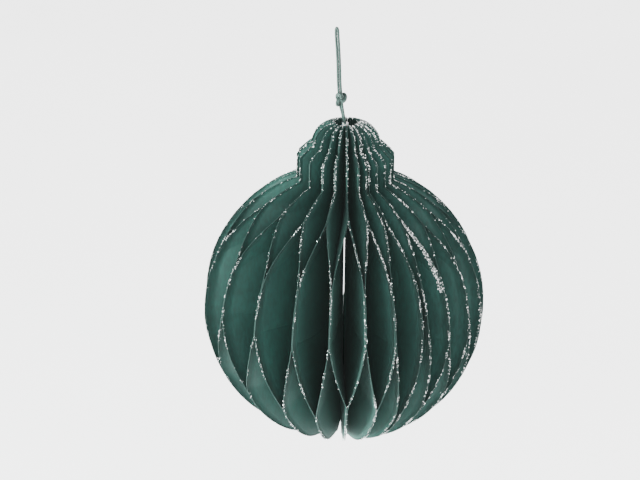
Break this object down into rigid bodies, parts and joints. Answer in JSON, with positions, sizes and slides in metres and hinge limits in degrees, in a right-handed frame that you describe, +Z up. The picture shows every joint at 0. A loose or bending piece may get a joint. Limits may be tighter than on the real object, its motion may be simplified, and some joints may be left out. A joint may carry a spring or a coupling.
{
  "type": "paper honeycomb ball",
  "caption": "Hanging bauble-shaped paper honeycomb ball of folded and glued sheets round a hollow spine, with glitter edges and a knotted cord loop; it folds flat.",
  "frame": {"origin": "top of the hanging loop, where a hook carries the ball", "axes": "+Z up along the ball's axis; -Y is the front, +X is to the right seen from the front; the axis stands 4.35 mm to +X of the loop"},
  "size_m": [0.1196, 0.12, 0.1805],
  "materials": {
    "paper": "matt, glittered edges",
    "cord": "matt",
    "glue": "satin",
    "magnet": "bright"
  },
  "bodies": {
    "glued_pair_12": {"sheet_12_right_leaf": "paper", "sheet_13_left_leaf": "paper", "cord": "cord", "knot": "cord", "cord_glue_bead": "glue"},
    "glued_pair_11": {"sheet_11_right_leaf": "paper", "sheet_12_left_leaf": "paper"},
    "glued_pair_10": {"sheet_10_right_leaf": "paper", "sheet_11_left_leaf": "paper"},
    "glued_pair_09": {"sheet_09_right_leaf": "paper", "sheet_10_left_leaf": "paper"},
    "glued_pair_08": {"sheet_08_right_leaf": "paper", "sheet_09_left_leaf": "paper"},
    "glued_pair_07": {"sheet_07_right_leaf": "paper", "sheet_08_left_leaf": "paper"},
    "glued_pair_06": {"sheet_06_right_leaf": "paper", "sheet_07_left_leaf": "paper"},
    "glued_pair_05": {"sheet_05_right_leaf": "paper", "sheet_06_left_leaf": "paper"},
    "glued_pair_04": {"sheet_04_right_leaf": "paper", "sheet_05_left_leaf": "paper"},
    "glued_pair_03": {"sheet_03_right_leaf": "paper", "sheet_04_left_leaf": "paper"},
    "glued_pair_02": {"sheet_02_right_leaf": "paper", "sheet_03_left_leaf": "paper"},
    "glued_pair_01": {"sheet_01_right_leaf": "paper", "sheet_02_left_leaf": "paper"},
    "left_cover": {"sheet_01_left_leaf": "paper", "left_cover_magnets": "magnet"},
    "glued_pair_13": {"sheet_13_right_leaf": "paper", "sheet_14_left_leaf": "paper"},
    "glued_pair_14": {"sheet_14_right_leaf": "paper", "sheet_15_left_leaf": "paper"},
    "glued_pair_15": {"sheet_15_right_leaf": "paper", "sheet_16_left_leaf": "paper"},
    "glued_pair_16": {"sheet_16_right_leaf": "paper", "sheet_17_left_leaf": "paper"},
    "glued_pair_17": {"sheet_17_right_leaf": "paper", "sheet_18_left_leaf": "paper"},
    "glued_pair_18": {"sheet_18_right_leaf": "paper", "sheet_19_left_leaf": "paper"},
    "glued_pair_19": {"sheet_19_right_leaf": "paper", "sheet_20_left_leaf": "paper"},
    "glued_pair_20": {"sheet_20_right_leaf": "paper", "sheet_21_left_leaf": "paper"},
    "glued_pair_21": {"sheet_21_right_leaf": "paper", "sheet_22_left_leaf": "paper"},
    "glued_pair_22": {"sheet_22_right_leaf": "paper", "sheet_23_left_leaf": "paper"},
    "glued_pair_23": {"sheet_23_right_leaf": "paper", "sheet_24_left_leaf": "paper"},
    "right_cover": {"sheet_24_right_leaf": "paper", "right_cover_magnets": "magnet"}
  },
  "joints": [
    {"name": "crease_12", "type": "hinge", "parent": "glued_pair_12", "child": "glued_pair_11", "pos_m": [0.00376, 0.00358, -0.1215], "axis": [0, 0, 1], "range_deg": [0, 14.25]},
    {"name": "crease_11", "type": "hinge", "parent": "glued_pair_11", "child": "glued_pair_10", "pos_m": [0.00466, 0.00361, -0.1215], "axis": [0, 0, 1], "range_deg": [0, 14.25]},
    {"name": "crease_10", "type": "hinge", "parent": "glued_pair_10", "child": "glued_pair_09", "pos_m": [0.00554, 0.00343, -0.1215], "axis": [0, 0, 1], "range_deg": [0, 14.25]},
    {"name": "crease_09", "type": "hinge", "parent": "glued_pair_09", "child": "glued_pair_08", "pos_m": [0.00635, 0.00303, -0.1215], "axis": [0, 0, 1], "range_deg": [0, 14.25]},
    {"name": "crease_08", "type": "hinge", "parent": "glued_pair_08", "child": "glued_pair_07", "pos_m": [0.00703, 0.00244, -0.1215], "axis": [0, 0, 1], "range_deg": [0, 14.25]},
    {"name": "crease_07", "type": "hinge", "parent": "glued_pair_07", "child": "glued_pair_06", "pos_m": [0.00755, 0.00171, -0.1215], "axis": [0, 0, 1], "range_deg": [0, 14.25]},
    {"name": "crease_06", "type": "hinge", "parent": "glued_pair_06", "child": "glued_pair_05", "pos_m": [0.00787, 0.00087, -0.1215], "axis": [0, 0, 1], "range_deg": [0, 14.25]},
    {"name": "crease_05", "type": "hinge", "parent": "glued_pair_05", "child": "glued_pair_04", "pos_m": [0.00798, -0.00003, -0.1215], "axis": [0, 0, 1], "range_deg": [0, 14.25]},
    {"name": "crease_04", "type": "hinge", "parent": "glued_pair_04", "child": "glued_pair_03", "pos_m": [0.00786, -0.00092, -0.1215], "axis": [0, 0, 1], "range_deg": [0, 14.25]},
    {"name": "crease_03", "type": "hinge", "parent": "glued_pair_03", "child": "glued_pair_02", "pos_m": [0.00753, -0.00175, -0.1215], "axis": [0, 0, 1], "range_deg": [0, 14.24]},
    {"name": "crease_02", "type": "hinge", "parent": "glued_pair_02", "child": "glued_pair_01", "pos_m": [0.00706, -0.00253, -0.1215], "axis": [0, 0, 1], "range_deg": [0, 13.95]},
    {"name": "crease_01", "type": "hinge", "parent": "glued_pair_01", "child": "left_cover", "pos_m": [0.0069, -0.00373, -0.1215], "axis": [0, 0, 1], "range_deg": [0, 11.44]},
    {"name": "crease_13", "type": "hinge", "parent": "glued_pair_12", "child": "glued_pair_13", "pos_m": [0.0029, 0.00332, -0.1215], "axis": [0, 0, -1], "range_deg": [0, 14.25]},
    {"name": "crease_14", "type": "hinge", "parent": "glued_pair_13", "child": "glued_pair_14", "pos_m": [0.00212, 0.00286, -0.1215], "axis": [0, 0, -1], "range_deg": [0, 14.25]},
    {"name": "crease_15", "type": "hinge", "parent": "glued_pair_14", "child": "glued_pair_15", "pos_m": [0.00149, 0.00222, -0.1215], "axis": [0, 0, -1], "range_deg": [0, 14.29]},
    {"name": "crease_16", "type": "hinge", "parent": "glued_pair_15", "child": "glued_pair_16", "pos_m": [0.00112, 0.0014, -0.1215], "axis": [0, 0, -1], "range_deg": [0, 14.7]},
    {"name": "crease_17", "type": "hinge", "parent": "glued_pair_16", "child": "glued_pair_17", "pos_m": [0.00128, 0.00041, -0.1215], "axis": [0, 0, -1], "range_deg": [0, 16.68]},
    {"name": "crease_18", "type": "hinge", "parent": "glued_pair_17", "child": "glued_pair_18", "pos_m": [0.00187, -0.00048, -0.1215], "axis": [0, 0, -1], "range_deg": [0, 20.56]},
    {"name": "crease_19", "type": "hinge", "parent": "glued_pair_18", "child": "glued_pair_19", "pos_m": [0.00237, -0.00125, -0.1215], "axis": [0, 0, -1], "range_deg": [0, 22.12]},
    {"name": "crease_20", "type": "hinge", "parent": "glued_pair_19", "child": "glued_pair_20", "pos_m": [0.0027, -0.00218, -0.1215], "axis": [0, 0, -1], "range_deg": [0, 18.95]},
    {"name": "crease_21", "type": "hinge", "parent": "glued_pair_20", "child": "glued_pair_21", "pos_m": [0.00322, -0.00312, -0.1215], "axis": [0, 0, -1], "range_deg": [0, 15.6]},
    {"name": "crease_22", "type": "hinge", "parent": "glued_pair_21", "child": "glued_pair_22", "pos_m": [0.00404, -0.0036, -0.1215], "axis": [0, 0, -1], "range_deg": [0, 14.33]},
    {"name": "crease_23", "type": "hinge", "parent": "glued_pair_22", "child": "glued_pair_23", "pos_m": [0.00495, -0.00384, -0.1215], "axis": [0, 0, -1], "range_deg": [0, 13.3]},
    {"name": "crease_24", "type": "hinge", "parent": "glued_pair_23", "child": "right_cover", "pos_m": [0.00607, -0.00451, -0.1215], "axis": [0, 0, -1], "range_deg": [0, 10.69]}
  ],
  "couplings": [
    {"joint": "crease_11", "follows": "crease_12", "ratio": 1},
    {"joint": "crease_10", "follows": "crease_12", "ratio": 1},
    {"joint": "crease_09", "follows": "crease_12", "ratio": 1},
    {"joint": "crease_08", "follows": "crease_12", "ratio": 1},
    {"joint": "crease_07", "follows": "crease_12", "ratio": 1},
    {"joint": "crease_06", "follows": "crease_12", "ratio": 1},
    {"joint": "crease_05", "follows": "crease_12", "ratio": 1},
    {"joint": "crease_04", "follows": "crease_12", "ratio": 0.99998},
    {"joint": "crease_03", "follows": "crease_12", "ratio": 0.99887},
    {"joint": "crease_02", "follows": "crease_12", "ratio": 0.97862},
    {"joint": "crease_01", "follows": "crease_12", "ratio": 0.80293},
    {"joint": "crease_13", "follows": "crease_12", "ratio": 1},
    {"joint": "crease_14", "follows": "crease_12", "ratio": 1.0001},
    {"joint": "crease_15", "follows": "crease_12", "ratio": 1.0028},
    {"joint": "crease_16", "follows": "crease_12", "ratio": 1.0314},
    {"joint": "crease_17", "follows": "crease_12", "ratio": 1.1704},
    {"joint": "crease_18", "follows": "crease_12", "ratio": 1.4427},
    {"joint": "crease_19", "follows": "crease_12", "ratio": 1.5518},
    {"joint": "crease_20", "follows": "crease_12", "ratio": 1.33},
    {"joint": "crease_21", "follows": "crease_12", "ratio": 1.0944},
    {"joint": "crease_22", "follows": "crease_12", "ratio": 1.0053},
    {"joint": "crease_23", "follows": "crease_12", "ratio": 0.93322},
    {"joint": "crease_24", "follows": "crease_12", "ratio": 0.75012}
  ]
}
